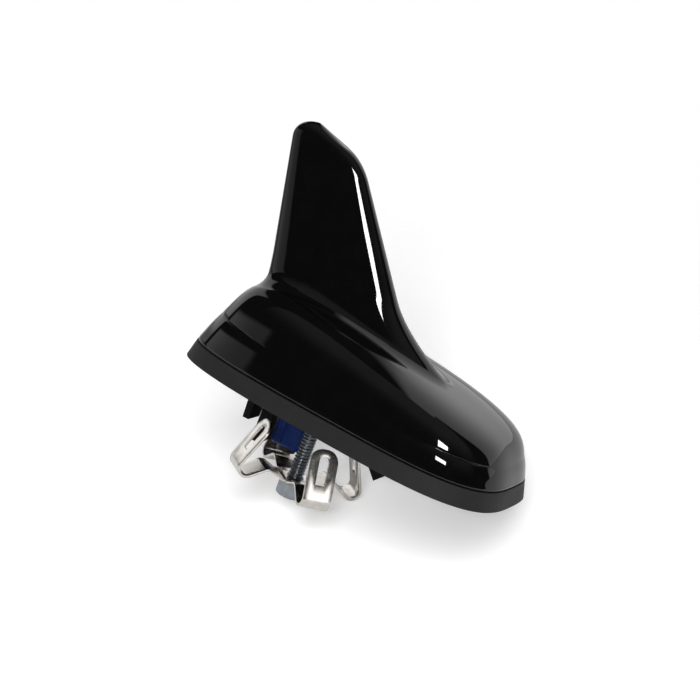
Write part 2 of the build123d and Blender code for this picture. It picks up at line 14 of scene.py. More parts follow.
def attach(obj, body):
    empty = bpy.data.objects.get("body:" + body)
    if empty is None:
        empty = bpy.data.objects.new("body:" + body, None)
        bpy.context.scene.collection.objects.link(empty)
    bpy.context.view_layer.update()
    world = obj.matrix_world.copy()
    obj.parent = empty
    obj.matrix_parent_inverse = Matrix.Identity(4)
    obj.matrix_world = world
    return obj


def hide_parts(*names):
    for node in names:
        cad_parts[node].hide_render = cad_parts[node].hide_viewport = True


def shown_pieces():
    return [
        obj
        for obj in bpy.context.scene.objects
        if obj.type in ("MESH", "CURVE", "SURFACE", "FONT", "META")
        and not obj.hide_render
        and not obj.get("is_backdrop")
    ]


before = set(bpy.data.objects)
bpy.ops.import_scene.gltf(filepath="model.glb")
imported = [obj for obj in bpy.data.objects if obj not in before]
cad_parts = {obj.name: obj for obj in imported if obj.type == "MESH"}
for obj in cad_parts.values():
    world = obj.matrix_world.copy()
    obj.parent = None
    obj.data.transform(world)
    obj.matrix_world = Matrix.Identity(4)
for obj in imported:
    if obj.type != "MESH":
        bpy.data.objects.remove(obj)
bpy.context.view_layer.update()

MM = 0.001

# Cover: plan, hood and fin, with the sizes of the part's source
TAIL_X = -48.0
NOSE_X = 70.0
HALF_WIDTH = 26.0
PLAN_POWER = 3.2
PLAN_TAPER = 0.31
COVER_INSET = 1.5
COVER_WALL = 2.0
SEAM_Z = 6.0
HOOD_PEAK_X = -20.0
HOOD_PEAK_Z = 34.6
HOOD_NOSE_Z = 18.1
HOOD_RIDGE_POWER = 1.42
HOOD_TAIL_LEAN = 12.1
HOOD_NOSE_LEAN = 5.6
HOOD_SIDE_LEAN = 3.0
SHOULDER_POWER = 8.0
FIN_FOOT_Z = 22.0
FIN_REFERENCE_Z = 36.0
FIN_TAIL_X = -32.5
FIN_NOSE_X = 16.8
FIN_TAIL_RAKE = 0.1985
FIN_NOSE_RAKE = 0.746
FIN_FLARE_Z = 43.5
FIN_TAIL_FLARE = 0.0055
FIN_NOSE_FLARE = 0.042
FIN_TAIL_TOP_Z = 85.1
FIN_NOSE_TOP_Z = 81.2
FIN_FOOT_HALF = 6.6
FIN_TOP_HALF = 3.2
FIN_POWER = 2.4
FIN_TAPER = 0.12
FIN_TAIL_ROUND = 9.6
FIN_NOSE_ROUND = 5.5
FIN_TOP_ROUND = 7.1
ROOT_RADIUS = 6.0
MIDDLE_X = (TAIL_X + NOSE_X) / 2

# Belt crease moulded round the hood: its share of the hood's height at the tail and the nose
CREASE_TAIL = 0.43
CREASE_NOSE = 0.52
CREASE_HALF_WIDTH = 0.35
CREASE_DEPTH = 0.30
CREASE_FADE = (0.55, 0.82)
CREASE_NOSE_END = (0.90, 0.97)
CREASE_PLACES = (-0.7, -0.4, 0.0, 0.4, 0.7)
CREASE_POWER = 1.5

# Lower band below the crease: it swells a little above its middle, and draws in at the lip over the gasket
BAND_BULGE = 0.25
BAND_PEAK_POWER = 1.35
LIP_INSET = 0.5
LIP_SHARE = 0.09

# How finely the cover is divided
COVER_COLUMNS = 288
BAND_ROWS = 18
SHOULDER_ROWS = 26
TOP_ROWS = 24
ROOT_ROWS = 12
SHAFT_ROWS = 36
CAP_ROWS = 14
SHOULDER_END = 0.93
SHOULDER_SPACING = 0.75
ROOT_MARGIN = 0.06
CAP_END = radians(84)
COVER_SMOOTH_ANGLE = 60

# How the fin's root is found on the hood
HALVINGS = 50
HIGHEST_ROOT_RISE = 0.6
HOOD_PROBE = 0.5
FIN_PROBE_RISE = 0.03
LEAST_PLAN_TAPER = 0.05
LEAST_SHRINK = 1e-12

# Spring clip
CLIP_PATH = ((0.0, -23.4), (6.0, -23.4), (11.3, -21.0), (24.8, -29.7), (16.1, -9.6), (15.0, -6.8))
CLIP_BEND_RADIUS = 2.8
CLIP_THICKNESS = 0.8
CLIP_HALF_WIDTH = 4.8
CLIP_TIP_RADIUS = 4.2
CLIP_SLOT_HALF = 1.7
CLIP_SLOT_BOTTOM = -17.4
CLIP_SLOT_TOP = -8.8
CLIP_HOLE_RADIUS = 2.8
CLIP_LEGS = 4
CLIP_FIRST_ANGLE = 45.0
CLIP_LEG_TURN = 2 * pi / CLIP_LEGS
CLIP_EDGE = 0.12
CLIP_EDGE_SEGMENTS = 2
CLIP_EDGE_ANGLE = 50
CLIP_SMOOTH_ANGLE = 40
CLIP_BEND_STEPS = 8
CLIP_TIP_STEPS = 8
CLIP_SLOT_STEPS = 12
CLIP_HOLE_STEPS = 32
CLIP_CUT_TOLERANCE = 1e-5
CLIP_FLAT_TOLERANCE = 1e-4

# Clamp bolt
BOLT_RADIUS = 2.5
BOLT_PITCH = 1.1
BOLT_THREAD_DEPTH = 0.42
BOLT_TOP = 6.4
BOLT_HEAD_BOTTOM = -30.0
BOLT_FLANGE_BOTTOM = -24.8
BOLT_FLANGE_TOP = -23.8
BOLT_FLANGE_RADIUS = 4.9
BOLT_FLATS = 8.0
BOLT_FACE_INSET = 0.5
BOLT_BEVEL_Z = 0.1
BOLT_BEVEL_INSET = 0.25
BOLT_BEVEL_SLOPE = 1.6
BOLT_BEVEL_RISES = (0.0, 0.1, 0.2, 0.3, 0.4, 0.5, 0.65)
BOLT_NECK = 0.2
BOLT_FLANGE_LOW_EDGE = 0.15
BOLT_FLANGE_TOP_EDGE = 0.1
BOLT_COLUMNS = 72
THREAD_LEVELS = 12
THREAD_FLANK = 1.3
THREAD_CREST = 0.12
BOLT_SMOOTH_ANGLE = 42


def unit_ring(angle, power):
    """Superellipse of one power: its two coordinates at an angle."""
    reach = (np.abs(np.cos(angle)) ** power + np.abs(np.sin(angle)) ** power) ** (-1 / power)
    return reach * np.cos(angle), reach * np.sin(angle)


def ridge_height(x):
    """Height of the hood's ridge line."""
    share = np.abs(x - HOOD_PEAK_X) / (NOSE_X - HOOD_PEAK_X)
    return HOOD_PEAK_Z - (HOOD_PEAK_Z - HOOD_NOSE_Z) * share ** HOOD_RIDGE_POWER


def hood_shrink(rise):
    """How far the shoulder has drawn the hood in at a share of its height."""
    return np.maximum(1 - rise ** SHOULDER_POWER, LEAST_SHRINK) ** (1 / SHOULDER_POWER)


def hood_level(rise):
    """Tail, nose and half width of the hood at a share of its height, and the heights at both ends."""
    shrink = hood_shrink(rise)
    tail = MIDDLE_X - (MIDDLE_X - TAIL_X - COVER_INSET - HOOD_TAIL_LEAN * rise) * shrink
    nose = MIDDLE_X + (NOSE_X - MIDDLE_X - COVER_INSET - HOOD_NOSE_LEAN * rise) * shrink
    half = (HALF_WIDTH - COVER_INSET - HOOD_SIDE_LEAN * rise) * shrink
    tail_z = SEAM_Z + rise * (ridge_height(tail) - SEAM_Z)
    nose_z = SEAM_Z + rise * (ridge_height(nose) - SEAM_Z)
    return tail, nose, half, tail_z, nose_z


def hood_point(rise, angle):
    """Points of the hood's outside."""
    tail, nose, half, tail_z, nose_z = hood_level(rise)
    along, across = unit_ring(angle, PLAN_POWER)
    share = (along + 1) / 2
    x = tail + (nose - tail) * share
    y = half * (1 + PLAN_TAPER * along) * across
    return np.stack([x, y, tail_z + (nose_z - tail_z) * share], -1)


def hood_over(x, y):
    """Rise and height of the hood's top over points of the plan, found by halving the range of its rise."""
    low = np.zeros_like(x)
    high = np.ones_like(x)
    for _ in range(HALVINGS):
        rise = (low + high) / 2
        tail, nose, half, tail_z, nose_z = hood_level(rise)
        along = 2 * (x - tail) / (nose - tail) - 1
        across = y / (half * np.maximum(1 + PLAN_TAPER * along, LEAST_PLAN_TAPER))
        inside = np.abs(along) ** PLAN_POWER + np.abs(across) ** PLAN_POWER < 1
        low = np.where(inside, rise, low)
        high = np.where(inside, high, rise)
    share = np.clip((along + 1) / 2, 0, 1)
    return rise, tail_z + (nose_z - tail_z) * share


def hood_height(plan):
    """Height of the hood's top over points of the plan."""
    return hood_over(plan[:, 0], plan[:, 1])[1]


def fin_point(rise, angle, turn=0.0):
    """Points of the fin's outside: rise is a share of its height, turn the angle round its top edge."""
    drop = FIN_TOP_ROUND * (rise - np.sin(turn))
    tail_z = FIN_FOOT_Z + rise * (FIN_TAIL_TOP_Z - FIN_FOOT_Z) - drop
    nose_z = FIN_FOOT_Z + rise * (FIN_NOSE_TOP_Z - FIN_FOOT_Z) - drop
    inset = 1 - np.cos(turn)
    tail = FIN_TAIL_X - FIN_TAIL_RAKE * (tail_z - FIN_REFERENCE_Z) + FIN_TAIL_ROUND * inset
    nose = FIN_NOSE_X - FIN_NOSE_RAKE * (nose_z - FIN_REFERENCE_Z) - FIN_NOSE_ROUND * inset
    tail = tail - FIN_TAIL_FLARE * np.maximum(FIN_FLARE_Z - tail_z, 0) ** 2
    nose = nose + FIN_NOSE_FLARE * np.maximum(FIN_FLARE_Z - nose_z, 0) ** 2
    half = (FIN_FOOT_HALF + rise * (FIN_TOP_HALF - FIN_FOOT_HALF)) * np.sqrt(np.cos(turn))
    along, across = unit_ring(angle, FIN_POWER)
    share = (along + 1) / 2
    x = tail + (nose - tail) * share
    return np.stack([x, half * (1 + FIN_TAPER * along) * across, tail_z + (nose_z - tail_z) * share], -1)


def unit(vectors):
    """Vectors made one long."""
    return vectors / np.linalg.norm(vectors, axis=-1, keepdims=True)


def root_blend(angle):
    """Foot, corner, rise of the head and arc weight of the fillet round the fin's root."""
    low = np.zeros_like(angle)
    high = np.full_like(angle, HIGHEST_ROOT_RISE)
    for _ in range(HALVINGS):
        rise = (low + high) / 2
        point = fin_point(rise, angle)
        below = point[:, 2] < hood_height(point)
        low = np.where(below, rise, low)
        high = np.where(below, high, rise)
    corner = fin_point(rise, angle)
    along = np.roll(corner, -1, 0) - np.roll(corner, 1, 0)
    outward = unit(np.stack([along[:, 1], -along[:, 0]], -1))
    probe = corner[:, :2] + HOOD_PROBE * outward
    slope = (hood_height(probe) - corner[:, 2]) / HOOD_PROBE
    down = unit(np.column_stack([outward, slope]))
    generator = fin_point(rise + FIN_PROBE_RISE, angle) - corner
    opening = np.arccos(np.clip((down * unit(generator)).sum(1), -1, 1))
    reach = ROOT_RADIUS / np.tan(opening / 2)
    foot = corner + reach[:, None] * down
    foot[:, 2] = hood_height(foot)
    head_rise = rise + FIN_PROBE_RISE * reach / np.linalg.norm(generator, axis=1)
    return foot, corner, head_rise, np.sin(opening / 2)[:, None]


def push_out(ring, amount):
    """Ring moved outward in plan by an amount, one number or one for each point."""
    tangent = np.roll(ring, -1, 0) - np.roll(ring, 1, 0)
    outward = unit(np.stack([tangent[:, 1], -tangent[:, 0]], -1))
    moved = ring.copy()
    moved[:, :2] += outward * np.broadcast_to(amount, len(ring))[:, None]
    return moved


def crease_rows(angle, end):
    """Rows of the hood's wall up to its end, with the belt crease pressed in between its two bands."""
    along, _ = unit_ring(angle, PLAN_POWER)
    crease = CREASE_TAIL + (CREASE_NOSE - CREASE_TAIL) * (along + 1) / 2
    *_, tail_z, nose_z = hood_level(crease)
    height = (tail_z + (nose_z - tail_z) * (along + 1) / 2 - SEAM_Z) / crease
    lip = CREASE_HALF_WIDTH / height
    first, last = CREASE_FADE
    depth = CREASE_DEPTH * np.clip((np.abs(along) - first) / (last - first), 0, 1)
    first, last = CREASE_NOSE_END
    depth = depth * np.clip((last - along) / (last - first), 0, 1)
    rows = []
    for share in np.linspace(0, 1, BAND_ROWS):
        height_share = max(share - LIP_SHARE, 0) / (1 - LIP_SHARE)
        swell = BAND_BULGE * sin(pi * height_share ** BAND_PEAK_POWER)
        draw = LIP_INSET * max(1 - share / LIP_SHARE, 0) ** 2
        rows.append(push_out(hood_point((crease - lip) * share, angle), swell - draw))
    for place in CREASE_PLACES:
        press = depth * (1 - abs(place)) ** CREASE_POWER
        rows.append(push_out(hood_point(crease + lip * place, angle), -press))
    for share in np.linspace(0, 1, SHOULDER_ROWS):
        start = crease + lip
        rows.append(hood_point(start + (end - start) * share ** SHOULDER_SPACING, angle))
    return rows


def cover_rows():
    """All rings of the cover, from inside its lip, up over the hood and the fin, to the fin's top."""
    angle = 2 * pi * np.arange(COVER_COLUMNS) / COVER_COLUMNS
    foot, corner, head_rise, weight = root_blend(angle)
    head = fin_point(head_rise, angle)
    foot_rise, _ = hood_over(foot[:, 0], foot[:, 1])
    walls = crease_rows(angle, np.minimum(SHOULDER_END, foot_rise - ROOT_MARGIN))
    rows = []
    for wall in (walls[BAND_ROWS // 2], walls[0]):
        inner = wall.copy()
        inner[:, :2] -= COVER_WALL * unit(wall[:, :2] - np.array([MIDDLE_X, 0.0]))
        rows.append(inner)
    rows += walls
    edge = walls[-1]
    for share in np.linspace(0, 1, TOP_ROWS + 1)[1:]:
        plan = edge[:, :2] + (foot[:, :2] - edge[:, :2]) * share
        rows.append(np.column_stack([plan, hood_height(plan)]))
    for share in np.linspace(0, 1, ROOT_ROWS + 1)[1:]:
        first = (1 - share) ** 2
        second = 2 * share * (1 - share) * weight
        third = share ** 2
        rows.append((first * foot + second * corner + third * head) / (first + second + third))
    for share in np.linspace(0, 1, SHAFT_ROWS + 1)[1:]:
        rows.append(fin_point(head_rise + (1 - head_rise) * share, angle))
    for share in np.linspace(0, 1, CAP_ROWS + 1)[1:]:
        rows.append(fin_point(np.ones_like(angle), angle, CAP_END * share))
    return rows


def grid_piece(name, rows, close_bottom, close_top):
    """Mesh object of rings with equal counts, its ends closed by a fan where asked."""
    count = len(rows[0])
    points = [tuple(point * MM) for row in rows for point in row]
    faces = []
    for level in range(len(rows) - 1):
        for column in range(count):
            after = (column + 1) % count
            low = level * count
            high = low + count
            faces.append((low + column, low + after, high + after, high + column))
    ends = []
    if close_bottom:
        ends.append((0, True))
    if close_top:
        ends.append(((len(rows) - 1) * count, False))
    for start, turned in ends:
        points.append(tuple(np.mean(points[start:start + count], axis=0)))
        hub = len(points) - 1
        for column in range(count):
            pair = (start + column, start + (column + 1) % count)
            faces.append((pair[1], pair[0], hub) if turned else (pair[0], pair[1], hub))
    mesh = bpy.data.meshes.new(name)
    mesh.from_pydata(points, [], faces)
    return link(name, mesh)


def link(name, mesh):
    """Object of a mesh, in the scene."""
    piece = bpy.data.objects.new(name, mesh)
    bpy.context.scene.collection.objects.link(piece)
    return piece


def smooth(piece, angle):
    """Smooth shading, with edges sharper than an angle kept."""
    piece.data.shade_smooth()
    piece.data.set_sharp_from_angle(angle=radians(angle))


def seat(piece, slot, *nodes):
    """The piece rides on the one body and stands for CAD nodes."""
    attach(piece, "root")
    if nodes:
        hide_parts(*nodes)


def rounded_path(corners, radius, steps):
    """Points along a path whose corners are rounded by arcs."""
    points = [Vector(corners[0])]
    for before, corner, after in zip(corners, corners[1:], corners[2:]):
        centre = Vector(corner)
        back = (Vector(before) - centre).normalized()
        ahead = (Vector(after) - centre).normalized()
        opening = back.angle(ahead)
        reach = radius / np.tan(opening / 2)
        middle = centre + (back + ahead).normalized() * radius / sin(opening / 2)
        first = centre + back * reach - middle
        last = centre + ahead * reach - middle
        turn = first.angle_signed(last)
        for step in range(steps + 1):
            share = -turn * step / steps
            points.append(middle + Matrix.Rotation(share, 2) @ first)
    points.append(Vector(corners[-1]))
    return points


def clip_outline(length, slot_start, slot_end):
    """Loops of the clip's flat pattern: the cross, the bolt's hole and one slot in each arm."""
    cross = []
    slots = []
    for leg in range(CLIP_LEGS):
        turn = Matrix.Rotation(leg * CLIP_LEG_TURN, 2)
        arm = [Vector((CLIP_HALF_WIDTH, -CLIP_HALF_WIDTH))]
        for side in (-1, 1):
            middle = Vector((length - CLIP_TIP_RADIUS, side * (CLIP_HALF_WIDTH - CLIP_TIP_RADIUS)))
            for step in range(CLIP_TIP_STEPS + 1):
                share = step / CLIP_TIP_STEPS * pi / 2
                angle = share - pi / 2 if side < 0 else share
                arm.append(middle + CLIP_TIP_RADIUS * Vector((cos(angle), sin(angle))))
        cross += [turn @ point for point in arm]
        slot = [Vector((slot_start, CLIP_SLOT_HALF)), Vector((slot_start, -CLIP_SLOT_HALF))]
        round_end = Vector((slot_end - CLIP_SLOT_HALF, 0))
        for step in range(CLIP_SLOT_STEPS + 1):
            angle = (step / CLIP_SLOT_STEPS - 0.5) * pi
            slot.append(round_end + CLIP_SLOT_HALF * Vector((cos(angle), sin(angle))))
        slots.append([turn @ point for point in slot])
    hole = []
    for step in range(CLIP_HOLE_STEPS):
        angle = 2 * pi * step / CLIP_HOLE_STEPS
        hole.append(CLIP_HOLE_RADIUS * Vector((cos(angle), sin(angle))))
    return [cross, hole] + slots


def make_clip():
    """Clip cut as a flat cross, bent leg by leg, then given its thickness and softened edges."""
    path = rounded_path(CLIP_PATH, CLIP_BEND_RADIUS, CLIP_BEND_STEPS)
    lengths = [0.0]
    for before, after in zip(path, path[1:]):
        lengths.append(lengths[-1] + (after - before).length)
    rising = int(np.argmax([point[0] for point in path]))
    upright = [(point[1], run) for point, run in zip(path[rising:], lengths[rising:])]
    heights, runs = zip(*upright)
    slot_start, slot_end = np.interp((CLIP_SLOT_BOTTOM, CLIP_SLOT_TOP), heights, runs)
    bm = bmesh.new()
    edges = []
    for loop in clip_outline(lengths[-1], slot_start, slot_end):
        corners = [bm.verts.new((point[0], point[1], 0)) for point in loop]
        for first, second in zip(corners, corners[1:] + corners[:1]):
            edges.append(bm.edges.new((first, second)))
    bmesh.ops.triangle_fill(bm, edges=edges, use_beauty=True)
    for leg in range(CLIP_LEGS):
        direction = Matrix.Rotation(leg * CLIP_LEG_TURN, 3, "Z") @ Vector((1, 0, 0))
        for run in lengths[1:-1]:
            if run > CLIP_HALF_WIDTH:
                geometry = bm.verts[:] + bm.edges[:] + bm.faces[:]
                bmesh.ops.bisect_plane(
                    bm, geom=geometry, dist=CLIP_CUT_TOLERANCE, plane_co=direction * run, plane_no=direction)
    reach = [point[0] for point in path]
    height = [point[1] for point in path]
    for vertex in bm.verts:
        leg = round(atan2(vertex.co.y, vertex.co.x) / CLIP_LEG_TURN)
        turn = Matrix.Rotation(leg * CLIP_LEG_TURN, 3, "Z")
        flat = turn.inverted() @ vertex.co
        level = CLIP_PATH[0][1]
        if flat.x > CLIP_HALF_WIDTH - CLIP_FLAT_TOLERANCE:
            level = np.interp(flat.x, lengths, height)
            flat.x = np.interp(flat.x, lengths, reach)
        flat.z = level
        vertex.co = Matrix.Rotation(radians(CLIP_FIRST_ANGLE), 3, "Z") @ turn @ flat * MM
    bmesh.ops.recalc_face_normals(bm, faces=bm.faces[:])
    mesh = bpy.data.meshes.new("spring_clip")
    bm.to_mesh(mesh)
    bm.free()
    clip = link("spring_clip", mesh)
    thickness = clip.modifiers.new("thickness", "SOLIDIFY")
    thickness.thickness = CLIP_THICKNESS * MM
    thickness.offset = 0
    edge = clip.modifiers.new("edge", "BEVEL")
    edge.width = CLIP_EDGE * MM
    edge.segments = CLIP_EDGE_SEGMENTS
    edge.limit_method = "ANGLE"
    edge.angle_limit = radians(CLIP_EDGE_ANGLE)
    evaluated = clip.evaluated_get(bpy.context.evaluated_depsgraph_get())
    clip.data = bpy.data.meshes.new_from_object(evaluated)
    clip.modifiers.clear()
    smooth(clip, CLIP_SMOOTH_ANGLE)
    seat(clip, "spring_steel", "retaining_clip")
    return clip


def ring_row(radius, z):
    """One ring about the bolt's axis, its radius one number or one for each column."""
    angle = 2 * pi * np.arange(BOLT_COLUMNS) / BOLT_COLUMNS
    radius = radius + 0 * angle
    return np.stack([radius * np.cos(angle), radius * np.sin(angle), z + 0 * angle], -1)


def make_bolt():
    """Bolt with a bevelled hexagon head, a flange and a rolled thread."""
    angle = 2 * pi * np.arange(BOLT_COLUMNS) / BOLT_COLUMNS
    hexagon = BOLT_FLATS / 2 / np.cos((angle + pi / 6) % (pi / 3) - pi / 6)
    rows = []
    head_height = BOLT_FLANGE_BOTTOM - BOLT_HEAD_BOTTOM
    rows.append(ring_row(BOLT_FLATS / 2 - BOLT_FACE_INSET, BOLT_HEAD_BOTTOM))
    for rise in (*BOLT_BEVEL_RISES, head_height - BOLT_NECK):
        bevel = BOLT_FLATS / 2 - BOLT_BEVEL_INSET + rise * BOLT_BEVEL_SLOPE
        rows.append(ring_row(np.minimum(hexagon, bevel), BOLT_HEAD_BOTTOM + rise + BOLT_BEVEL_Z))
    rows.append(ring_row(BOLT_FLANGE_RADIUS - BOLT_FLANGE_LOW_EDGE, BOLT_FLANGE_BOTTOM))
    rows.append(ring_row(BOLT_FLANGE_RADIUS, BOLT_FLANGE_BOTTOM + BOLT_FLANGE_LOW_EDGE))
    rows.append(ring_row(BOLT_FLANGE_RADIUS, BOLT_FLANGE_TOP - BOLT_FLANGE_TOP_EDGE))
    rows.append(ring_row(BOLT_FLANGE_RADIUS - BOLT_FLANGE_TOP_EDGE, BOLT_FLANGE_TOP))
    levels = ceil((BOLT_TOP - BOLT_FLANGE_TOP) / BOLT_PITCH * THREAD_LEVELS)
    for z in np.linspace(BOLT_FLANGE_TOP, BOLT_TOP, levels):
        phase = (z / BOLT_PITCH - angle / (2 * pi)) % 1
        flank = np.clip(np.abs(2 * phase - 1) * THREAD_FLANK - THREAD_CREST, 0, 1)
        rows.append(ring_row(BOLT_RADIUS - BOLT_THREAD_DEPTH * flank, z))
    bolt = grid_piece("threaded_bolt", rows, True, True)
    smooth(bolt, BOLT_SMOOTH_ANGLE)
    seat(bolt, "zinc_steel", "clamp_bolt")
    return bolt


def make_cover():
    """Gloss cover, which stands for the CAD node of the same form."""
    cover = grid_piece("gloss_cover", cover_rows(), False, True)
    smooth(cover, COVER_SMOOTH_ANGLE)
    seat(cover, "black_gloss", "fin_cover")
    return cover


# Materials: how colour and roughness spread over the noise, and how fine its cloud and grain are
COLOUR_STOPS = (0.3, 0.7)
ROUGH_STOPS = (0.25, 0.75)
GRAINS_PER_CLOUD = 6
CLOUD_DETAIL = 4.0
GRAIN_DETAIL = 2.0


def node(tree, kind, **inputs):
    """New shader node with values set on its own sockets."""
    made = tree.nodes.new(kind)
    for name, value in inputs.items():
        made.inputs[name.replace("_", " ")].default_value = value
    return made


def ramp(tree, source, stops):
    """Colour ramp on a source, with two stops of (place, colour)."""
    made = tree.nodes.new("ShaderNodeValToRGB")
    elements = made.color_ramp.elements
    for element, (place, colour) in zip(elements, stops):
        element.position = place
        element.color = (*colour, 1)
    tree.links.new(source, made.inputs["Fac"])
    return made.outputs["Color"]


def noise(tree, scale, detail):
    """Noise over the object's own coordinates, in grains per metre."""
    place = tree.nodes.new("ShaderNodeTexCoord")
    made = node(tree, "ShaderNodeTexNoise", Scale=scale, Detail=detail)
    tree.links.new(place.outputs["Object"], made.inputs["Vector"])
    return made.outputs["Fac"]


def finish_material(name, dark, light, rough, grain, bump, metallic=0.0, **sockets):
    """Procedural finish: colour and roughness vary over noise, and a finer grain raises the surface."""
    made = bpy.data.materials.new(name)
    made.use_nodes = True
    tree = made.node_tree
    shader = tree.nodes["Principled BSDF"]
    shader.inputs["Metallic"].default_value = metallic
    for socket, value in sockets.items():
        shader.inputs[socket.replace("_", " ")].default_value = value
    cloud = noise(tree, grain / GRAINS_PER_CLOUD, CLOUD_DETAIL)
    tree.links.new(ramp(tree, cloud, zip(COLOUR_STOPS, (dark, light))), shader.inputs["Base Color"])
    spread = ramp(tree, cloud, zip(ROUGH_STOPS, [(value, value, value) for value in rough]))
    tree.links.new(spread, shader.inputs["Roughness"])
    strength, depth = bump
    raised = node(tree, "ShaderNodeBump", Strength=strength, Distance=depth * MM)
    tree.links.new(noise(tree, grain, GRAIN_DETAIL), raised.inputs["Height"])
    tree.links.new(raised.outputs["Normal"], shader.inputs["Normal"])
    return made


FINISHES = {
    "black_gloss": dict(
        dark=(0.0014, 0.0014, 0.0016), light=(0.0022, 0.0022, 0.0024),
        rough=(0.025, 0.04), grain=900, bump=(0.02, 0.01)),
    "charcoal_rubber": dict(
        dark=(0.009, 0.009, 0.009), light=(0.014, 0.0137, 0.0133),
        rough=(0.62, 0.75), grain=4200, bump=(0.25, 0.04)),
    "black_plastic": dict(
        dark=(0.004, 0.004, 0.004), light=(0.006, 0.006, 0.006),
        rough=(0.5, 0.62), grain=3000, bump=(0.2, 0.03), Specular_IOR_Level=0.12),
    "brass": dict(
        dark=(0.62, 0.42, 0.14), light=(0.75, 0.53, 0.2),
        rough=(0.25, 0.38), grain=2500, bump=(0.1, 0.02), metallic=1.0),
    "zinc_steel": dict(
        dark=(0.28, 0.30, 0.33), light=(0.40, 0.43, 0.46),
        rough=(0.26, 0.42), grain=2600, bump=(0.12, 0.02), metallic=1.0),
    "spring_steel": dict(
        dark=(0.62, 0.59, 0.55), light=(0.76, 0.73, 0.69),
        rough=(0.16, 0.27), grain=2600, bump=(0.10, 0.015), metallic=1.0),
    "blue_plastic": dict(
        dark=(0.002, 0.014, 0.09), light=(0.003, 0.019, 0.12),
        rough=(0.3, 0.42), grain=2600, bump=(0.12, 0.02), Specular_IOR_Level=0.35),
    "dark_metal": dict(
        dark=(0.05, 0.05, 0.052), light=(0.09, 0.09, 0.094),
        rough=(0.3, 0.42), grain=2600, bump=(0.1, 0.02), metallic=1.0),
    "white_plastic": dict(
        dark=(0.72, 0.71, 0.68), light=(0.8, 0.79, 0.77),
        rough=(0.4, 0.5), grain=2600, bump=(0.1, 0.02)),
    "board_green": dict(
        dark=(0.008, 0.06, 0.028), light=(0.014, 0.085, 0.04),
        rough=(0.35, 0.5), grain=1800, bump=(0.15, 0.03)),
    "ceramic": dict(
        dark=(0.5, 0.44, 0.36), light=(0.6, 0.54, 0.45),
        rough=(0.5, 0.65), grain=2600, bump=(0.15, 0.02)),
    "silver": dict(
        dark=(0.8, 0.79, 0.76), light=(0.9, 0.89, 0.87),
        rough=(0.25, 0.4), grain=2600, bump=(0.1, 0.015), metallic=1.0),
    "copper": dict(
        dark=(0.72, 0.32, 0.18), light=(0.85, 0.42, 0.26),
        rough=(0.28, 0.42), grain=2600, bump=(0.1, 0.015), metallic=1.0),
}
MATERIALS = {name: finish_material(name, **finish) for name, finish in FINISHES.items()}

NODE_FINISH = {
    "fin_cover": "black_gloss",
    "base_gasket": "charcoal_rubber",
    "base_plate": "black_plastic",
    "bolt_insert": "brass",
    "clamp_bolt": "zinc_steel",
    "retaining_clip": "spring_steel",
    "connector_housing": "blue_plastic",
    "connector_shell": "dark_metal",
    "connector_insulator": "white_plastic",
    "connector_pin": "brass",
    "main_board": "board_green",
    "board_screws": "zinc_steel",
    "cover_screws": "zinc_steel",
    "shield_can": "spring_steel",
    "patch_ceramic": "ceramic",
    "patch_electrode": "silver",
    "patch_feed_pin": "brass",
    "fin_board": "board_green",
    "fin_board_element": "copper",
    "fin_board_holder": "black_plastic",
}


def paint(piece, name):
    """One material on a piece."""
    piece.data.materials.clear()
    piece.data.materials.append(MATERIALS[name])


for node_name, finish in NODE_FINISH.items():
    paint(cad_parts[node_name], finish)
paint(make_cover(), "black_gloss")
clip = make_clip()
paint(clip, "spring_steel")
paint(make_bolt(), "zinc_steel")

# Camera, placed as in the photograph: it looks down from the nose's near side, turned in its own plane
CAMERA_AZIMUTH = radians(19.56)
CAMERA_ELEVATION = radians(14.59)
CAMERA_ROLL = radians(20.67)
CAMERA_DISTANCE = 0.691
CAMERA_TARGET = Vector((0.011, 0, 0.0234))
CAMERA_LENS = 113.14
CAMERA_SHIFT = (-0.0343, 0.0134)
CAMERA_NEAREST = 0.01

level_reach = cos(CAMERA_ELEVATION)
backward = Vector(
    (sin(CAMERA_AZIMUTH) * level_reach, -cos(CAMERA_AZIMUTH) * level_reach, sin(CAMERA_ELEVATION)))
level_right = Vector((cos(CAMERA_AZIMUTH), sin(CAMERA_AZIMUTH), 0))
level_up = backward.cross(level_right)
right = level_right * cos(CAMERA_ROLL) + level_up * sin(CAMERA_ROLL)
up = backward.cross(right)
camera_data = bpy.data.cameras.new("camera")
camera_data.lens = CAMERA_LENS
camera_data.shift_x, camera_data.shift_y = CAMERA_SHIFT
camera_data.clip_start = CAMERA_NEAREST
camera = bpy.data.objects.new("camera", camera_data)
bpy.context.scene.collection.objects.link(camera)
place = Matrix((right, up, backward)).transposed().to_4x4()
place.translation = CAMERA_TARGET + backward * CAMERA_DISTANCE
camera.matrix_world = place
bpy.context.scene.camera = camera


# Shader arithmetic that the floor and the room share


def calculate(operation, first, second):
    """Math node of the current tree, on two sockets or numbers."""
    made = tree.nodes.new("ShaderNodeMath")
    made.operation = operation
    for socket, value in zip(made.inputs, (first, second)):
        if isinstance(value, (int, float)):
            socket.default_value = value
        else:
            tree.links.new(value, socket)
    return made.outputs["Value"]


def remap(source, low, high, first, last):
    """Smooth step of a source from one value to another, in the current tree."""
    made = node(tree, "ShaderNodeMapRange", From_Min=low, From_Max=high, To_Min=first, To_Max=last)
    made.interpolation_type = "SMOOTHSTEP"
    tree.links.new(source, made.inputs["Value"])
    return made.outputs["Result"]


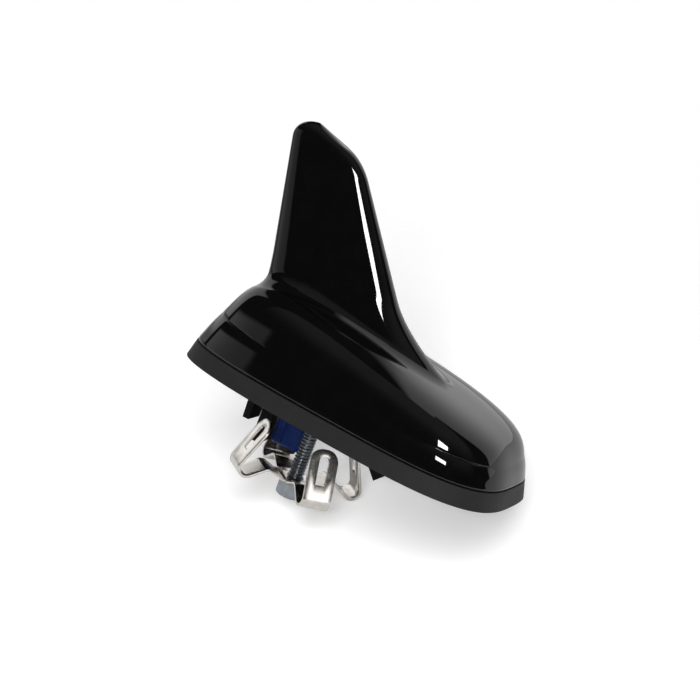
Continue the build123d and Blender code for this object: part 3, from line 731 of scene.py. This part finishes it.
# Floor: the part lies on its clip and nose, so the floor leans against the roof plane. It shows from above
# only, and fades out for the camera before its edge
FLOOR_ELEVATION = radians(30)
FLOOR_RADIUS = 0.42
FLOOR_SEGMENTS = 96
FLOOR_GAP = 0.0001
PAPER_COLOUR = (0.86, 0.86, 0.86, 1)
PAPER_ROUGHNESS = 0.9
WHITE = (1, 1, 1, 1)
FLOOR_GLOW = 0.34
FLOOR_FADE = (0.11, 0.24)
floor_normal = up * cos(FLOOR_ELEVATION) + backward * sin(FLOOR_ELEVATION)
lowest = min(vertex.co.dot(floor_normal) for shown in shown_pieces() for vertex in shown.data.vertices)
floor_mesh = bpy.data.meshes.new("floor")
bm = bmesh.new()
bmesh.ops.create_circle(bm, cap_ends=True, segments=FLOOR_SEGMENTS, radius=FLOOR_RADIUS)
bm.to_mesh(floor_mesh)
bm.free()
floor = link("floor", floor_mesh)
floor.rotation_euler = floor_normal.to_track_quat("Z", "Y").to_euler()
floor.location = floor_normal * (lowest - FLOOR_GAP)
floor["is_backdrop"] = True
floor_material = bpy.data.materials.new("floor")
floor_material.use_nodes = True
tree = floor_material.node_tree
paper = tree.nodes["Principled BSDF"]
paper.inputs["Base Color"].default_value = PAPER_COLOUR
paper.inputs["Roughness"].default_value = PAPER_ROUGHNESS
paper.inputs["Specular IOR Level"].default_value = 0.0
paper.inputs["Emission Color"].default_value = WHITE
side = tree.nodes.new("ShaderNodeNewGeometry")
clear = tree.nodes.new("ShaderNodeBsdfTransparent")
either = tree.nodes.new("ShaderNodeMixShader")
rays = tree.nodes.new("ShaderNodeLightPath")
glow = node(tree, "ShaderNodeMapRange", To_Max=FLOOR_GLOW)
tree.links.new(rays.outputs["Is Camera Ray"], glow.inputs["Value"])
tree.links.new(glow.outputs["Result"], paper.inputs["Emission Strength"])
on_floor = tree.nodes.new("ShaderNodeTexCoord")
reach = tree.nodes.new("ShaderNodeVectorMath")
reach.operation = "LENGTH"
tree.links.new(on_floor.outputs["Object"], reach.inputs[0])
faded = remap(reach.outputs["Value"], *FLOOR_FADE, 0.0, 1.0)
faded = calculate("MULTIPLY", faded, rays.outputs["Is Camera Ray"])
unseen = calculate("MAXIMUM", side.outputs["Backfacing"], faded)
tree.links.new(unseen, either.inputs["Fac"])
tree.links.new(paper.outputs["BSDF"], either.inputs[1])
tree.links.new(clear.outputs["BSDF"], either.inputs[2])
tree.links.new(either.outputs["Shader"], tree.nodes["Material Output"].inputs["Surface"])
floor.data.materials.append(floor_material)

# Room: white behind, a low pale panel to the left, a dim ceiling in front, and white to the camera.
# Bearings and elevations are in degrees, a bearing of 0 is straight behind, and other places are shares of 1
DARK_ROOM = 0.03
WHITE_ROOM = 1.0
DIM_CEILING = 0.16
WHITE_EDGE = 0.02
WHITE_FRONT_HEIGHTS = (0.35, 0.65)
WHITE_FRONT_REACH = 0.17
WHITE_RIGHT_BEARINGS = (66, 70)
HORIZON = (-0.06, 0.06)
BELOW_HORIZON = 0.3
WHITE_FADE_HEIGHTS = (0.1, 0.6)
WHITE_FADE = (1.2, 0.9)
GAP_SIDE = (-0.23, -0.15)
GAP_HEIGHTS = (0.56, 0.64)
PANEL_STEP_BEARINGS = (-133, -130)
PANEL_STEP = 0.3
PANEL_RISE_BEARINGS = (-129, -100)
PANEL_RISE = 0.35
PANEL_TOP_ELEVATIONS = (4, 6.5)
PANEL_END_BEARINGS = (-98, -95)
CEILING_LEFT_BEARINGS = (-121, -117)
CEILING_RIGHT_BEARINGS = (105, 125)
CEILING_ELEVATIONS = (10, 50)
world = bpy.data.worlds.new("studio")
world.use_nodes = True
bpy.context.scene.world = world
tree = world.node_tree
direction = tree.nodes.new("ShaderNodeTexCoord")
parts = tree.nodes.new("ShaderNodeSeparateXYZ")
tree.links.new(direction.outputs["Generated"], parts.inputs["Vector"])


def height_at(elevation):
    """Share of 1 that a direction at an elevation rises."""
    return sin(radians(elevation))


bearing = calculate("ARCTAN2", parts.outputs["X"], parts.outputs["Y"])
height = parts.outputs["Z"]
front_edge = remap(height, *WHITE_FRONT_HEIGHTS, 0.0, WHITE_FRONT_REACH)
depth = calculate("ADD", parts.outputs["Y"], front_edge)
behind = remap(depth, -WHITE_EDGE, WHITE_EDGE, 0.0, WHITE_ROOM)
right_side = remap(bearing, *map(radians, WHITE_RIGHT_BEARINGS), 1.0, 0.0)
above = remap(height, *HORIZON, BELOW_HORIZON, 1.0)
fading = remap(height, *WHITE_FADE_HEIGHTS, *WHITE_FADE)
wall = calculate("MULTIPLY", behind, right_side)
white = calculate("MULTIPLY", wall, calculate("MULTIPLY", above, fading))
gap_side = remap(parts.outputs["X"], *GAP_SIDE, 1.0, 0.0)
gap_bottom = remap(height, *GAP_HEIGHTS, 0.0, 1.0)
white = calculate("SUBTRACT", white, calculate("MULTIPLY", gap_side, gap_bottom))
panel_step = remap(bearing, *map(radians, PANEL_STEP_BEARINGS), 0.0, PANEL_STEP)
panel_rise = remap(bearing, *map(radians, PANEL_RISE_BEARINGS), 0.0, PANEL_RISE)
panel_top = remap(height, *map(height_at, PANEL_TOP_ELEVATIONS), 1.0, 0.0)
panel_end = remap(bearing, *map(radians, PANEL_END_BEARINGS), 1.0, 0.0)
panel = calculate("MULTIPLY", calculate("ADD", panel_step, panel_rise), panel_top)
panel = calculate("MULTIPLY", panel, panel_end)
ceiling_left = remap(bearing, *map(radians, CEILING_LEFT_BEARINGS), 1.0, 0.0)
ceiling_right = remap(bearing, *map(radians, CEILING_RIGHT_BEARINGS), 0.0, 1.0)
ceiling = remap(height, *map(height_at, CEILING_ELEVATIONS), 0.0, DIM_CEILING)
ceiling = calculate("MULTIPLY", ceiling, calculate("ADD", ceiling_left, ceiling_right))
room = calculate("MAXIMUM", calculate("MAXIMUM", white, panel), ceiling)
room = calculate("ADD", room, DARK_ROOM)
path = tree.nodes.new("ShaderNodeLightPath")
seen = calculate("MAXIMUM", room, path.outputs["Is Camera Ray"])
background = tree.nodes["Background"]
tree.links.new(seen, background.inputs["Strength"])
background.inputs["Color"].default_value = WHITE

# Lights: a softbox in front, a card that shines on the clip alone, and one above that no surface mirrors
SOFTBOX = dict(distance=2.5, size=(0.50, 0.30), power=16)
SOFTBOX_AIM = (10.5, 15.5)
CARD = dict(distance=1.0, size=(0.5, 0.5), power=1.6)
CARD_AIM = (70, 8)
OVERHEAD = dict(distance=1.0, size=(0.7, 0.7), power=8.5)
OVERHEAD_TILT = radians(38)


def toward(azimuth, elevation):
    """Direction from the part at an azimuth and an elevation."""
    turn = radians(azimuth)
    rise = radians(elevation)
    return Vector((sin(turn) * cos(rise), -cos(turn) * cos(rise), sin(rise)))


def area_light(name, away, target, reflected, distance, size, power):
    """Rectangular light aimed at a target from a direction, shown in reflections only where asked."""
    data = bpy.data.lights.new(name, "AREA")
    data.shape = "RECTANGLE"
    data.size, data.size_y = size
    data.energy = power
    light = bpy.data.objects.new(name, data)
    bpy.context.scene.collection.objects.link(light)
    light.location = away * distance + target
    light.rotation_euler = away.to_track_quat("Z", "Y").to_euler()
    light.visible_camera = False
    light.visible_glossy = reflected
    return light


area_light("front_softbox", toward(*SOFTBOX_AIM), CAMERA_TARGET, True, **SOFTBOX)
card = area_light("clip_card", toward(*CARD_AIM), CAMERA_TARGET, True, **CARD)
card_lit = bpy.data.collections.new("card_lit")
card_lit.objects.link(clip)
card.light_linking.receiver_collection = card_lit
floor_front = (backward - floor_normal * backward.dot(floor_normal)).normalized()
overhead_away = floor_normal * cos(OVERHEAD_TILT) + floor_front * sin(OVERHEAD_TILT)
area_light("overhead", overhead_away, Vector((0, 0, 0)), False, **OVERHEAD)

bpy.context.scene.view_settings.view_transform = "Standard"
